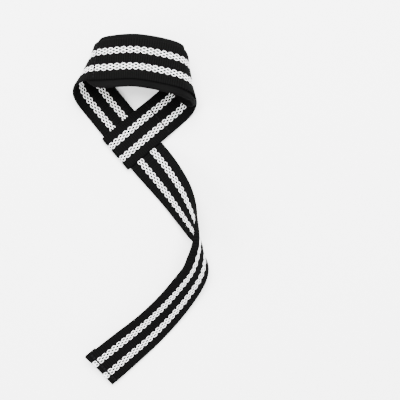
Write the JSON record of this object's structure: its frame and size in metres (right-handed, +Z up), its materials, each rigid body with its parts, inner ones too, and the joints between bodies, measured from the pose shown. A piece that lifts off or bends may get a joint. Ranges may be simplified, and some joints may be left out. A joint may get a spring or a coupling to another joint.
{
  "type": "wrist wrap",
  "caption": "Lifting strap that wraps round the wrist: woven webbing drawn through its own sewn eye into a loop, with a foam pad inside the loop.",
  "frame": {"origin": "middle of the strap's outline, on the surface that it lies on", "axes": "+Y along the strap from the free end towards the wrist loop, +Z up from the surface; the wrist goes through the loop along Y"},
  "size_m": [0.1268, 0.319, 0.0536],
  "materials": {
    "webbing": "matte woven",
    "wrist_pad": "matte foam with a smooth skin"
  },
  "bodies": {
    "root": {"webbing": "webbing", "wrist_pad": "wrist_pad"}
  },
  "joints": []
}
